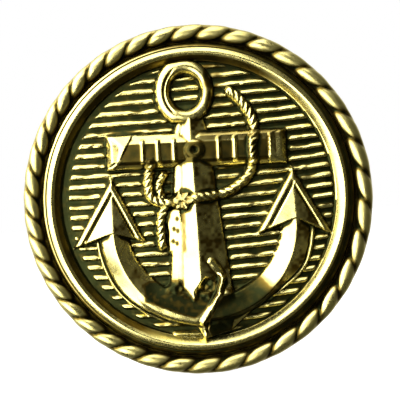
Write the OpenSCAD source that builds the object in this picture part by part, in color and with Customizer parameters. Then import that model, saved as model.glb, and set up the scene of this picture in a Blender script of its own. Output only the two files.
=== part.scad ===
// Uniform button with a rope border and a fouled anchor, worn face to -Y with the anchor upright.
// Every piece is drawn face up (face to +Z, anchor's head to +Y) and turned by worn() at the end.
// The origin is the centre of the flat seat on the button's back.

/* [Head] */
// Overall diameter across the rope border
head_d = 23; // [22:0.5:24]
// Thickness of the stamped front sheet
sheet_t = 0.35; // [0.3:0.05:0.4]
// Height of the field's edge in front of the back seat
field_h = 2.95; // [2.9:0.05:3.2]
// How far the field bulges at its centre
field_dome = 0.3; // [0.1:0.1:0.5]
// Number of raised lines across the field
line_count = 27; // [21:2:29]
// Height of each raised line
line_rise = 0.15; // [0.08:0.01:0.2]
// Angle by which the lines climb to the right
line_slope = 2; // [0:1:4]
// Radial width of the smooth ring
ring_w = 1.3; // [1.15:0.05:1.4]
// Height of the smooth ring above the field's edge
ring_rise = 0.62; // [0.5:0.02:0.7]

/* [Rope border] */
// Radial width of the rope
rope_w = 1.12; // [1.05:0.01:1.2]
// Number of strands around the rope
strand_count = 40; // [32:1:48]
// Depth of the valleys between strands
strand_depth = 0.2; // [0.1:0.02:0.24]
// Strand pitches by which a strand leans from its inner to its outer end
strand_lean = 0.9; // [0.6:0.1:1.4]

/* [Anchor] */
// Height of the shank's ridge above the field
shank_rise = 1.05; // [0.8:0.05:1.2]
// Length of the stock
stock_l = 11.7; // [10:0.1:12]
// Height of the stock's front face above the field
stock_rise = 0.8; // [0.6:0.05:0.85]
// Radius of the shackle to the middle of its wire
shackle_r = 1.5; // [1.3:0.05:1.6]
// Height of the ridge along the arms
arm_rise = 0.85; // [0.6:0.05:1]
// Distance from the shank's middle to each palm's ridge
palm_x = 5.95; // [5.6:0.05:6.1]
// Thickness of the fouling cable
cable_d = 0.46; // [0.44:0.02:0.5]

/* [Back and filling] */
// Thickness of the back plate
back_t = 0.4; // [0.35:0.05:0.45]
// Radius of the flat seat on the back
seat_r = 4.4; // [4.2:0.1:5]
// Height by which the back rises from the seat to its crimped edge
back_rise = 0.8; // [0.7:0.05:0.8]
// Gap left between pieces that touch
fit_gap = 0.03; // [0.02:0.01:0.04]

/* [Shank] */
// Diameter of the eye's wire
wire_d = 1; // [0.9:0.05:1]
// Radius of the eye to the middle of its wire
eye_r = 2; // [1.9:0.05:2.2]
// Distance from the back seat to the eye's centre
eye_drop = 3.3; // [3.3:0.1:4]
// Radial running clearance of the feet and of the collet
run_gap = 0.05; // [0.02:0.01:0.08]
// Radius of the collet's bore
collet_r = 1.5; // [1.5:0.01:1.55]
// Outer radius of the collet's flange
flange_r = 3.3; // [3.1:0.05:3.4]

/* [Hidden] */
$fn = 72;

BRASS = "#b5a04a";
GILT = "#c9b45c";
BOARD = "#8a7a5c";
STEEL = "#8d9194";

// straight steps that stand for the dome's curve, from the centre to the ring
DOME_STEPS = 4;

// plan radii of the head
head_r = head_d / 2;
ring_out = head_r - rope_w - 0.05;
ring_in = ring_out - ring_w;
size_k = ring_in / 9.03;
flange_edge = head_r - 0.7;
wall_in = flange_edge + 0.05;

// heights of the head's seats
stiffener_t = 0.3;
tuck_top = field_h - 0.15;
tuck_bottom = tuck_top - sheet_t;
back_edge_r = wall_in - 0.1;
back_slope = back_rise / (back_edge_r - seat_r);

// the collet is pressed through the back and flared over its washer
recess_r = flange_r + 0.2;
recess_d = 0.1;
neck_r = collet_r + 0.45;
flange_t = 0.5;
mouth_h = recess_d - fit_gap - flange_t;
washer_h = recess_d + back_t + fit_gap;
washer_t = 0.25;
flare_r = neck_r + 0.75;
foot_h = 1.5;
foot_reach = 2.35;
pocket_r = flange_r;
pocket_h = foot_h + wire_d / 2 + 0.12;

// the eye's wire: ring, two reverse bends, two legs, two elbows and two feet
wire_r = wire_d / 2;
leg_x = wire_r + 0.05;
elbow_r = wire_r + 0.1;
// this bend radius meets the ring 30 degrees either side of its top
bend_angle = 30;
bend_r = eye_r - 2 * leg_x;
bend_x = leg_x + bend_r;
// a whole number of microns, so that the bends, legs and elbows meet exactly
MICRON = 0.001;
bend_up = MICRON * round((eye_r + bend_r) * cos(bend_angle) / MICRON);
land_r = eye_r - wire_r + 0.06;

// height of the field above the back seat, at a plan point
function dome(r) = field_dome * (1 - pow(min(r, ring_in) / ring_in, 2));
function field_z(p) = field_h + dome(norm([p.x, p.y]));

// a plan point with its height above the field, as a point in space
function lifted(p) = [p.x * size_k, p.y * size_k, field_z(p * size_k) + p.z];

module worn() {
    rotate([90, 0, 0]) children();
}

// convex solid around a list of points
module around(points) {
    hull() polyhedron(points, [[for (i = [0 : len(points) - 1]) i]]);
}

// closed grid of points: rows of equal length, joined in turn, with the first and last row capped
module skin(rows) {
    n = len(rows[0]);
    last = len(rows) - 1;
    sides = [for (i = [0 : last - 1]) for (j = [0 : n - 1])
        each [[i * n + j, (i + 1) * n + j, i * n + (j + 1) % n],
              [i * n + (j + 1) % n, (i + 1) * n + j, (i + 1) * n + (j + 1) % n]]];
    caps = [[for (j = [0 : n - 1]) j], [for (j = [n - 1 : -1 : 0]) last * n + j]];
    polyhedron([for (row = rows) each row], concat(sides, caps));
}

// ---- stamped front -------------------------------------------------------------------------

// smooth ring between radii a and b, as points of its outline from the inside out
function ring_arc(a, b, low_a, low_b, top) =
    [for (t = [0 : 30 : 180])
        let (low = t < 90 ? low_a : low_b)
        [(a + b) / 2 - (b - a) / 2 * sign(cos(t)) * pow(abs(cos(t)), 0.85),
         low + (top - low) * pow(sin(t), 0.8)]];

// arc of the domed field at a level below it, from the centre outwards
function dome_arc(reach, drop) =
    [for (i = [0 : DOME_STEPS])
        let (r = reach * i / DOME_STEPS)
        [r, field_h + dome(r) - drop]];

// body of the sheet, solid down to the tuck, before its back is hollowed
module sheet_body() {
    rotate_extrude($fn = 60)
        polygon(concat(
            dome_arc(ring_in, 0.05),
            ring_arc(ring_in, ring_out, field_h, tuck_top, field_h + ring_rise),
            [[flange_edge, tuck_top], [flange_edge, tuck_bottom], [0, tuck_bottom]]));
}

// everything behind the sheet's rear surface
module sheet_hollow() {
    rotate_extrude($fn = 36)
        polygon(concat(
            dome_arc(ring_in - 0.1, sheet_t),
            ring_arc(ring_in + sheet_t * 0.7, ring_out - sheet_t * 0.7, field_h - sheet_t,
                     tuck_bottom - 0.5, field_h + ring_rise - sheet_t),
            [[0, tuck_bottom - 0.5]]));
}

// the lined field: every line has a foot, a crest and a foot
module field_lines() {
    pitch = 2 * ring_in / line_count;
    bed_r = ring_in + 0.25;
    steps = 6;
    stations = [for (i = [0 : line_count - 1]) for (s = [[-0.28, 0], [0, 1], [0.28, 0]])
        [(i - (line_count - 1) / 2 + s.x) * pitch, s.y * line_rise]];
    function row(y, rise) =
        let (half = sqrt(bed_r * bed_r - y * y))
        concat(
            [for (j = [0 : steps]) let (x = half * (2 * j / steps - 1)) [x, y, field_z([x, y]) + rise]],
            [[half, y, tuck_bottom], [-half, y, tuck_bottom]]);
    rotate(line_slope) skin([for (s = stations) row(s.x, s.y)]);
}

// outline of a bar's section across direction d at c: two sunk feet, two flanks, two shoulders, a ridge
function bar_section(c, d, half, flank, shoulder, ridge) =
    let (n = [-d.y, d.x, 0] / norm([d.x, d.y]) * half)
    [lifted(c - n + [0, 0, -0.25]), lifted(c - n + [0, 0, flank]),
     lifted(c - n * 0.45 + [0, 0, shoulder]), lifted(c + [0, 0, ridge]),
     lifted(c + n * 0.45 + [0, 0, shoulder]), lifted(c + n + [0, 0, flank]),
     lifted(c + n + [0, 0, -0.25])];

module shackle() {
    place = lifted([-0.3, 7.1, 0.28]);
    translate(place)
        rotate_extrude($fn = 30) translate([shackle_r * size_k, 0]) scale([0.9, 1.15]) circle(0.4, $fn = 8);
}

// the shank widens from its head, under the shackle, to the crown
module shank_bar() {
    down = [0, -1, 0];
    head = bar_section([-0.2, 5.4, 0], down, 0.75, 0.3, 0.6, 0.75);
    neck = bar_section([-0.15, 2.6, 0], down, 1.15, 0.35, 0.75, shank_rise - 0.1);
    foot = bar_section([0, -5.2, 0], down, 1.95, 0.4, 0.8, shank_rise);
    around(concat(head, neck));
    around(concat(neck, foot));
}

// the stock crosses the shank a little out of square
module stock_bar() {
    half = stock_l / 2;
    middle = [0.1, 3.2, 0];
    // length of the stock between two stations, with its half width and the heights of its edge and its face
    module length(from, to, width, edge, face) {
        around(concat(
            bar_section(middle + [from, 0, 0], [1, 0, 0], width, edge, face, face),
            bar_section(middle + [to, 0, 0], [1, 0, 0], width, edge, face, face)));
    }
    rotate(-1.2) {
        length(-half, half, 1.05, 0.12, stock_rise);
        for (side = [-1, 1]) {
            // end block
            length(side * (half - 1.1), side * half, 1.15, 0.25, stock_rise + 0.12);
            // raised bands
            for (x = [1.4, 2.4, 3.4])
                length(side * x - 0.12, side * x + 0.12, 1.1, 0.2, stock_rise + 0.09);
        }
    }
}

// round boss where the stock crosses the shank, with a blind pin hole
module boss() {
    place = lifted([-0.1, 3.2, 0]);
    translate(place) difference() {
        cylinder(h = shank_rise + 0.12, r1 = 1, r2 = 0.7, $fn = 20);
        translate([0, 0, shank_rise - 0.1]) cylinder(h = 1, r = 0.2, $fn = 12);
    }
}

// the arms follow half an ellipse from one palm round to the other
module arms() {
    middle = [0.3, -1.9];
    drop = 5.9;
    step = 15;
    function on_arc(t) = [middle.x - palm_x * cos(t), middle.y - drop * sin(t), 0];
    function along(t) = [palm_x * sin(t), -drop * cos(t), 0];
    function half(t) = 0.8 + 0.45 * sin(t);
    function cut(t) =
        bar_section(on_arc(t), along(t), half(t), 0.25, arm_rise * 0.62, arm_rise + 0.15 * sin(t));
    for (t = [0 : step : 180 - step])
        around(concat(cut(t), cut(t + step)));
}

// pointed crown below the shank
module crown() {
    around([for (p = [[-2.4, -7.9, -0.2], [-2.4, -7.9, 0.25], [-0.1, -8.95, -0.2], [-0.1, -8.95, 0.35],
                      [2.4, -7.9, -0.2], [2.4, -7.9, 0.25], [-1.9, -5.2, 0.4], [1.9, -5.2, 0.4],
                      [0.1, -7.6, arm_rise + 0.3], [0.9, -5.4, shank_rise]]) lifted(p)]);
}

// a palm is two leaning leaves that meet along its ridge
module palm(side) {
    x = 0.3 + side * palm_x;
    function leaf(lean, low) = [
        [x, 1.45, 0.3], [x, 1.45, -0.2], [x, -1.7, 0.95], [x, -1.7, -0.2],
        [x + lean * 2.4, -2.5, 0.22], [x + lean * 2.4, -2.5, -0.2], [x + lean * 1.25, -0.75, low]];
    for (lean = [-1, 1])
        around([for (p = leaf(lean, 0.45)) lifted(p)]);
}

// the cable's course over the anchor, each point with its height above the field
CABLE = [[2.6, 7.1, 0.1], [3.2, 6.3, 0.12], [3.85, 5.1, 0.15], [3.9, 4.2, 0.8], [3.75, 3.2, 1.02],
         [3.75, 2.2, 0.6], [3.3, 1.2, 0.15], [2.3, 0.5, 0.12], [1.6, 0.25, 0.25], [0.9, 0.12, 0.8],
         [-0.1, 0.05, 1.15], [-1.2, 0, 0.75], [-1.8, 0, 0.25], [-2.5, -0.05, 0.15], [-3.15, 0.5, 0.15],
         [-3.2, 1.5, 0.15], [-2.9, 2.6, 0.3]];
CABLE_END = [[-1.5, -0.2, 0.7], [-2.5, -0.5, 0.2], [-2.75, -1.7, 0.15], [-2.7, -3.2, 0.15]];

// point at u along span k of a smooth curve through the points
function on_curve(points, k, u) =
    let (n = len(points) - 1,
         a = points[max(k - 1, 0)], b = points[k], c = points[k + 1], d = points[min(k + 2, n)])
    ((2 * b) + (c - a) * u + (2 * a - 5 * b + 4 * c - d) * u * u
     + (3 * b - a - 3 * c + d) * u * u * u) / 2;

// twisted cable: each turn is a small bead that leans across the cable's course
module cable(points, bead_pitch) {
    for (k = [0 : len(points) - 2]) {
        span = norm(points[k + 1] - points[k]);
        turns = max(1, round(span / bead_pitch));
        for (i = [0 : turns - 1]) {
            here = on_curve(points, k, i / turns);
            next = on_curve(points, k, (i + 0.5) / turns);
            way = next - here;
            translate(lifted(here))
                rotate(atan2(way.y, way.x) + 52) scale([0.46, 0.3, 0.36] * cable_d / 0.46)
                    sphere(1, $fn = 6);
        }
    }
}

// lump where the cable crosses itself on the shank's left side
module knot() {
    hull() for (p = [[-1.1, 0.3, 0.8], [-1.1, -0.3, 0.8], [-0.75, 0, 0.95], [-1.5, 0, 0.55]])
        translate(lifted(p)) sphere(0.36, $fn = 8);
}

module anchor() {
    shackle();
    shank_bar();
    stock_bar();
    boss();
    arms();
    crown();
    palm(-1);
    palm(1);
    cable(CABLE, 0.58);
    cable(CABLE_END, 0.58);
    knot();
}

module face_plate() {
    color(GILT) worn() difference() {
        union() {
            sheet_body();
            field_lines();
            anchor();
        }
        sheet_hollow();
    }
}

// ---- rope border -----------------------------------------------------------------------------

// points of the rope's bead, from its inner edge over its top to the wall
BEAD_TURNS = [172, 145, 115, 88, 60, 32, 5, -22];

// closed section of the rim: the bead sunk by relief, the wall, the lip round the back and the inside,
// as points of radius and height
function rim_section(relief) =
    let (mid_r = head_r - rope_w / 2, half = rope_w / 2,
         mid_h = field_h + 0.05, up = 0.55, lip_r = back_edge_r - 0.75,
         under = back_rise - (back_edge_r - lip_r) * back_slope - fit_gap)
    concat(
        [for (t = BEAD_TURNS)
            [mid_r + (half - relief * abs(cos(t))) * cos(t), mid_h + (up - relief) * sin(t)]],
        [[head_r - 0.24, field_h - 0.5], [head_r - 0.25, 1.0], [head_r - 0.5, 0.5],
         [lip_r, under - 0.36], [lip_r, under], [back_edge_r, back_rise - fit_gap],
         [wall_in, back_rise + 0.05], [wall_in, tuck_top + fit_gap],
         [ring_out + 0.03, tuck_top + fit_gap]]);

module rope_rim() {
    // depths at the edge, the crest and the far shoulder of a strand, as shares of the valley's depth
    marks = [1, 0, 0.1];
    count = strand_count * len(marks);
    bead_end = len(BEAD_TURNS) - 1;
    // a strand leans over the bead, and the wall below unwinds within four points
    function lean(j) = j <= bead_end ? j / bead_end : max(0, 1 - (j - bead_end) / 4);
    rows = [for (i = [0 : count - 1])
        let (points = rim_section(strand_depth * marks[i % len(marks)]))
        [for (j = [0 : len(points) - 1])
            let (turn = (i - strand_lean * lean(j) * len(marks)) * 360 / count)
            [points[j].x * cos(turn), points[j].x * sin(turn), points[j].y]]];
    n = len(rows[0]);
    faces = [for (i = [0 : count - 1]) for (j = [0 : n - 1])
        let (a = i * n, b = ((i + 1) % count) * n, k = (j + 1) % n)
        each [[a + j, b + k, a + k], [a + j, b + j, b + k]]];
    color(BRASS) worn() polyhedron([for (row = rows) each row], faces);
}

// ---- filling and back ------------------------------------------------------------------------

// steel disc that keeps the stamped field from denting
module stiffener_disc() {
    reach = ring_in - 0.15;
    top = dome_arc(reach, sheet_t + fit_gap);
    low = [for (i = [DOME_STEPS : -1 : 0]) top[i] - [0, stiffener_t]];
    color(STEEL) worn() rotate_extrude() polygon(concat(top, low));
}

// pressed board that fills the head, with a pocket for the collet and the feet
module filler_board() {
    reach = ring_in - 0.1;
    top = dome_arc(reach, sheet_t + stiffener_t + 2 * fit_gap);
    edge = wall_in - 0.1;
    back_z = back_t + fit_gap;
    color(BOARD) worn() rotate_extrude() polygon(concat(
        [[0, pocket_h]], top,
        [[reach + 0.1, tuck_bottom - fit_gap], [edge, tuck_bottom - fit_gap],
         [edge, back_z + back_rise], [seat_r, back_z], [seat_r - 0.5, back_z + recess_d],
         [pocket_r, back_z + recess_d], [pocket_r, pocket_h]]));
}

module back_plate() {
    color(BRASS) worn() rotate_extrude() polygon([
        [neck_r + run_gap, recess_d], [recess_r, recess_d], [recess_r, 0], [seat_r, 0],
        [back_edge_r, back_rise], [back_edge_r, back_rise + back_t], [seat_r, back_t],
        [seat_r - 0.4, back_t + recess_d], [neck_r + run_gap, back_t + recess_d]]);
}

// ---- swivelling shank ------------------------------------------------------------------------

// turned collet: countersunk mouth, flange, neck through the back and a flare with a groove for the feet
module shank_collet() {
    top = recess_d - fit_gap;
    color(BRASS) worn() difference() {
        rotate_extrude() polygon([
            [collet_r + 0.35, mouth_h], [flange_r - 0.35, mouth_h], [flange_r - 0.1, mouth_h + 0.1],
            [flange_r, mouth_h + 0.25], [flange_r, top], [neck_r, top], [neck_r, washer_h + washer_t],
            [flare_r, washer_h + washer_t], [flare_r, foot_h - 0.12], [flare_r - 0.12, foot_h],
            [collet_r, foot_h], [collet_r, mouth_h + 0.31]]);
        translate([0, 0, foot_h]) rotate([0, 90, 0])
            cylinder(h = 4 * flare_r, r = wire_r + run_gap, center = true);
    }
}

module collet_washer() {
    color(STEEL) worn() translate([0, 0, washer_h]) difference() {
        cylinder(h = washer_t, r = flare_r + 0.2);
        translate([0, 0, -1]) cylinder(h = washer_t + 2, r = neck_r + 0.01);
    }
}

// length of wire bent round a centre: r to the middle of the wire, from angle a through sweep degrees
module bent_wire(r, a, sweep) {
    rotate([90, 0, 0]) rotate(a) rotate_extrude(angle = sweep) translate([r, 0]) circle(wire_r);
}

module shank_eye() {
    leg_low = bend_up - eye_drop;
    color(BRASS) worn() difference() {
        union() {
            translate([0, 0, -eye_drop]) bent_wire(eye_r, 90 + bend_angle, 360 - 2 * bend_angle);
            for (side = [0, 1]) mirror([side, 0, 0]) {
                translate([bend_x, 0, leg_low]) bent_wire(bend_r, 180, 90 - bend_angle);
                // brazed joint between the bend and the ring
                translate([eye_r * sin(bend_angle), 0, eye_r * cos(bend_angle) - eye_drop])
                    sphere(wire_r + 0.02);
                translate([leg_x, 0, leg_low]) cylinder(h = foot_h - elbow_r - leg_low, r = wire_r);
                translate([leg_x + elbow_r, 0, foot_h - elbow_r]) bent_wire(elbow_r, 90, 90);
                translate([leg_x + elbow_r, 0, foot_h]) rotate([0, 90, 0])
                    cylinder(h = foot_reach - leg_x - elbow_r, r = wire_r);
            }
        }
        // flat land that the thread bears on
        translate([0, 0, -eye_drop]) rotate([90, 0, 0]) cylinder(h = wire_d, r = land_r, center = true);
    }
}

face_plate();
rope_rim();
stiffener_disc();
filler_board();
back_plate();
shank_collet();
collet_washer();
shank_eye();
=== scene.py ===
import math

import bpy
import numpy as np
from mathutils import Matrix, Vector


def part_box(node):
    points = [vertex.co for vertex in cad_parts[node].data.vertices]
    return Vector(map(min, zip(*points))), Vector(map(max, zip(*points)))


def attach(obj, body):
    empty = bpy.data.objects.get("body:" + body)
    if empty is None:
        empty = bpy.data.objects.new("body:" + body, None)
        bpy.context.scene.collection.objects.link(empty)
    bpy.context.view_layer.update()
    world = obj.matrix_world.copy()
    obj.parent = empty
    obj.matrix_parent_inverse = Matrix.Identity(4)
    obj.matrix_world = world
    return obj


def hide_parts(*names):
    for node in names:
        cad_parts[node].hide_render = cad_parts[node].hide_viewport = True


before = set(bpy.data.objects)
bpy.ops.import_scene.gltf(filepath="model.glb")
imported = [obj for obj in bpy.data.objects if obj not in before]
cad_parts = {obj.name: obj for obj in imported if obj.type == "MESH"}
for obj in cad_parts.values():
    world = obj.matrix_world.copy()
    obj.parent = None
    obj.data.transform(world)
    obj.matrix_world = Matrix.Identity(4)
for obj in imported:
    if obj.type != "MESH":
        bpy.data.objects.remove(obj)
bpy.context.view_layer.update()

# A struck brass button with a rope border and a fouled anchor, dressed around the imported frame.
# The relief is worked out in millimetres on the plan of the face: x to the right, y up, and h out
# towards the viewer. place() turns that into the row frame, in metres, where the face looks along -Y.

MM = 0.001

# ---- sizes in millimetres, worked out from the frame --------------------------------------------

rim_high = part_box("rope_rim")[1]
sheet_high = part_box("face_plate")[1]
HEAD_R = rim_high.x / MM
LIP_H = -rim_high.y / MM
FLANGE_R = sheet_high.x / MM
COLLET_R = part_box("shank_collet")[1].x / MM

# the front sheet's flange lies between the two tuck heights; the field is domed above it
SHEET_T = 0.35
TUCK_BOTTOM = -sheet_high.y / MM
TUCK_TOP = TUCK_BOTTOM + SHEET_T
FIELD_H = TUCK_TOP + 0.15
FIELD_DOME = 0.3

# rope border and the smooth ring inside it; on the back, the rim's lip and the recess for the collet's flange
ROPE_W = 1.12
RING_W = 1.3
RING_OUT = HEAD_R - ROPE_W - 0.05
RING_IN = RING_OUT - RING_W
LIP_R = FLANGE_R - 0.85
RECESS_R = 3.5

# strands of the rope: how many, how many strand widths each leans over and how deep the creases are
STRANDS = 40
STRAND_LEAN = 0.85
STRAND_DEPTH = 0.2
# how strongly they crowd together, towards which side, and the turn of the whole row, all in radians
CROWDING = 6.9
CROWDED_SIDE = math.radians(176)
FIRST_STRAND = 1.26

# raised lines of the field; they climb to the right, a little more steeply towards the right edge
LINES = 27
LINE_RISE = 0.14
PITCH = 2 * RING_IN / LINES
LINE_SLOPE = 0.022
LINE_BEND = 0.0026

# steepness of the walls that drop from a raised shape to the field
WALL = 5.0
# the ring's inner slope faces the light this far below the right-hand side, in radians, and is left clean
# there; opposite it gets painted shade
LIT_SIDE = 0.5


# ---- small helpers ----------------------------------------------------------------------------

def place(x, y, h):
    """Plan points in millimetres as row-frame points in metres."""
    return np.stack([x, -h, y], axis=-1) * MM


def smooth_max(a, b, k):
    """The larger of two heights, with the crease between them rounded over a band of k."""
    t = np.clip(0.5 + 0.5 * (a - b) / k, 0, 1)
    return b + (a - b) * t + k * t * (1 - t)


def smooth_min(a, b, k):
    """The smaller of two heights, rounded in the same way."""
    return -smooth_max(-a, -b, k)


def ease(t):
    """Smooth step: 0 for t up to 0, 1 for t from 1 on."""
    t = np.clip(t, 0, 1)
    return t * t * (3 - 2 * t)


def ripple(x, y, cell, seed):
    """Seeded value noise from -1 to 1 with the given cell size."""
    table = np.random.default_rng(seed).uniform(-1, 1, (64, 64))
    u, v = x / cell + 500, y / cell + 500
    i, j = np.floor(u).astype(int), np.floor(v).astype(int)
    fu, fv = ease(u - i), ease(v - j)
    a, b = table[i % 64, j % 64], table[(i + 1) % 64, j % 64]
    c, d = table[i % 64, (j + 1) % 64], table[(i + 1) % 64, (j + 1) % 64]
    return (a * (1 - fu) + b * fu) * (1 - fv) + (c * (1 - fu) + d * fu) * fv


def inset(x, y, corners):
    """Distance inside a convex outline whose corners run anticlockwise; negative outside."""
    best = np.full(x.shape, 1e9)
    for (ax, ay), (bx, by) in zip(corners, corners[1:] + corners[:1]):
        length = math.hypot(bx - ax, by - ay)
        best = np.minimum(best, ((bx - ax) * (y - ay) - (by - ay) * (x - ax)) / length)
    return best


def to_segment(x, y, a, b):
    """Distance from the segment a-b."""
    dx, dy = b[0] - a[0], b[1] - a[1]
    t = np.clip(((x - a[0]) * dx + (y - a[1]) * dy) / (dx * dx + dy * dy), 0, 1)
    return np.hypot(x - a[0] - t * dx, y - a[1] - t * dy)


def smooth_path(points, count):
    """Catmull-Rom curve through points, as count evenly timed samples."""
    p = np.array(points, float)
    p = np.vstack([2 * p[0] - p[1], p, 2 * p[-1] - p[-2]])
    t = np.linspace(0, len(points) - 1 - 1e-6, count)
    k, u = np.floor(t).astype(int), (t % 1)[:, None]
    a, b, c, d = p[k], p[k + 1], p[k + 2], p[k + 3]
    return (2 * b + (c - a) * u + (2 * a - 5 * b + 4 * c - d) * u**2 + (3 * b - a - 3 * c + d) * u**3) / 2


def bead(distance, width):
    """A rounded bump of height 1 and the given half width."""
    return np.clip(1 - (distance / width) ** 2, 0, 1) ** 1.5


# ---- the anchor's relief, as heights above the field --------------------------------------------

# middle line of the shank, and its heights across as shares of the ridge's height: -1 is the left edge, 0 the
# ridge and 1 the right edge
SHANK_X = -0.2
SHANK_EDGE = 0.34
SHANK_SECTION = [(-1, SHANK_EDGE), (-0.8, 0.55), (-0.74, 0.56), (-0.58, 0.6), (-0.52, 0.68), (-0.44, 0.7),
                 (-0.4, 0.73), (-0.04, 0.985), (0, 1), (0.08, 0.98), (1, SHANK_EDGE)]
# middle and half width of the amber stripe on the section's step
STRIPE_T, STRIPE_HALF = -0.54, 0.1
# middle of the stock, how far it reaches to either side, up and down, and the heights of its edges and top
STOCK_Y, STOCK_HALF = 3.2, 5.85
STOCK_UP, STOCK_DOWN = 1.12, 1.05
STOCK_EDGE, STOCK_TOP = 0.4, 0.8
# radius and height of the boss on the middle of the stock
BOSS_R, BOSS_TOP = 0.54, 0.96
# middle and reach of the half ellipse along which the arms run, and how wide they are to either side of it
ARM_X, ARM_Y, ARM_W, ARM_D = 0.3, -1.9, 5.95, 5.9
ARM_INNER, ARM_OUTER = 0.86, 0.88
# middle of the shackle, its two radii, the half width of its wire and the height of the wire's edges
SHACKLE_X, SHACKLE_Y = -0.36, 7.06
SHACKLE_RX, SHACKLE_RY = 1.43, 1.66
SHACKLE_WIRE = 0.41
SHACKLE_EDGE = 0.3


def shackle(x, y):
    """Ring of round wire, a little taller than wide, with a groove worn along its left side."""
    u, v = (x - SHACKLE_X) / SHACKLE_RX, (y - SHACKLE_Y) / SHACKLE_RY
    across = (np.hypot(u, v) - 1) * (SHACKLE_RX + SHACKLE_RY) / 2
    left = ease((-0.3 - u) / 0.5)
    half = SHACKLE_WIRE + 0.2 * left * (across > 0)
    round_top = SHACKLE_EDGE + 0.46 * np.sqrt(np.clip(1 - (across / half) ** 2, 0, None))
    round_top = round_top - 0.13 * left * bead(across + 0.02, 0.12)
    return np.where(np.abs(across) < half, round_top, SHACKLE_EDGE - WALL * (np.abs(across) - half))


def shank_half(y):
    """Half width of the shank, which is widest at its foot and again at the stock."""
    return np.interp(y, [-6.0, 2.5, 3.9, 4.6, 5.4], [2.0, 1.2, 1.5, 1.0, 0.8])


def shank(x, y):
    """Four-sided shank: the left half carries a broad step, the right half falls away evenly."""
    half = shank_half(y)
    ridge = np.interp(y, [-6.0, -3.5, 2.6, 5.4], [1.0, 1.08, 0.98, 0.75])
    t = (x - SHANK_X) / half
    body = np.interp(t, *zip(*SHANK_SECTION)) * ridge
    h = np.where(np.abs(t) < 1, body, SHANK_EDGE * ridge - WALL * (np.abs(t) - 1) * half)
    return h - WALL * np.clip(y - 5.5, 0, None)


def along_stock(x, y):
    """Distances along and up from the middle of the stock, which sits a little out of square."""
    slant = math.radians(-1.4)
    u = x * math.cos(slant) + (y - STOCK_Y) * math.sin(slant) - 0.1
    return u, -x * math.sin(slant) + (y - STOCK_Y) * math.cos(slant)


# distances of the stock's raised bands from its middle, and the length of its end blocks
BANDS = [1.45, 2.5, 3.5]
BLOCK = 1.1


def from_block(u, v):
    """Distance from the stock's end blocks towards its middle; the left block is cut slantwise."""
    return STOCK_HALF - np.abs(u) - BLOCK - 0.55 * v * (u < 0)


def stock(x, y):
    """Bevelled bar with wedge-shaped end blocks and six raised bands.

    Its upper bevel is broad and gentle on the left, and steeper on the right.
    """
    u, v = along_stock(x, y)
    right = ease(0.5 + u / 0.6)
    end, over, under = STOCK_HALF - np.abs(u), STOCK_UP - v, v + STOCK_DOWN
    d = np.minimum(end, np.minimum(over, under))
    sides = np.minimum(0.48 + 0.12 * right + (0.56 + 0.5 * right) * over, STOCK_EDGE + 0.9 * under)
    face = smooth_min(np.minimum(sides, STOCK_EDGE + 1.2 * end), np.full(x.shape, STOCK_TOP), 0.05)
    h = np.where(d > 0, face, STOCK_EDGE + WALL * d)
    wedge = np.minimum(0.42 + 0.52 * end, sides + 0.1)
    h = np.maximum(h, np.where((d > 0) & (from_block(u, v) < 0), wedge, -1))
    for spot in BANDS:
        h = h + 0.12 * bead(np.abs(np.abs(u) - spot), 0.15) * (np.abs(v) < 0.8)
    return h


# outline of the cable's frayed end, the small holes in it, and the middle and radius of the cable's knot
FRAYED_END = [(-2.15, -0.75), (-2.1, -3.3), (-1.3, -3.45), (-1.24, -0.4)]
FRAY_HOLES = [(-1.47, -1.2), (-1.72, -1.85), (-1.48, -1.98), (-1.82, -2.65), (-1.58, -2.8)]
KNOT_X, KNOT_Y, KNOT_R = -1.02, -0.05, 0.62


def knot_rays(x, y):
    """From 1 along the knot's six rays to -1 between them."""
    return np.cos(6 * np.arctan2(y - KNOT_Y, x - KNOT_X) + 0.8)


# outlines of the crown, of its pointed tip and of the hollow on its left that is darkened with painted shade
CROWN = [(-2.6, -7.5), (-0.6, -8.2), (1.6, -8.6), (2.9, -7.5), (2.1, -3.4), (-2.4, -3.4)]
CROWN_TIP = [(-0.75, -8.0), (-0.15, -9.1), (1.5, -8.7), (1.2, -7.6), (-0.2, -7.4)]
CROWN_HOLLOW = [(-4.1, -6.6), (-0.7, -8.0), (0.1, -7.4), (0.95, -6.2), (1.25, -5.2), (0.6, -4.4),
                (-4.1, -4.4)]
# course of the crooked ridge down the crown, from the shank's foot to the tip
SEAM = [(0.55, -4.1), (1.3, -5.2), (0.95, -6.2), (0.3, -7.2), (-0.2, -8.0), (-0.25, -8.6), (-0.08, -9.0)]
# heights at which the shank ends on the crown, left and right of the seam, and the jagged point on its left
END_LEFT, END_RIGHT = -4.9, -5.3
POINT_X, POINT_HALF, POINT_LONG = -0.75, 0.9, 1.3


def along_arms(x, y):
    """Distance outwards from the arms' ridge, and how far down its curve: 0 at the palms, 1 at the crown."""
    u, v = (x - ARM_X) / ARM_W, (y - ARM_Y) / ARM_D
    r = np.maximum(np.hypot(u, v), 1e-6)
    return (r - 1) * (ARM_W + ARM_D) / 2, np.clip(-v / r, 0, 1)


def seam_x(y):
    """Place of the crown's ridge from left to right at the height y."""
    return np.interp(y, [p[1] for p in SEAM[::-1]], [p[0] for p in SEAM[::-1]])


def shank_end(x):
    """Where the shank's left half ends on the crown: straight, with one jagged point."""
    return END_LEFT - POINT_LONG * np.clip(1 - np.abs(x - POINT_X) / POINT_HALF, 0, 1)


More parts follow.
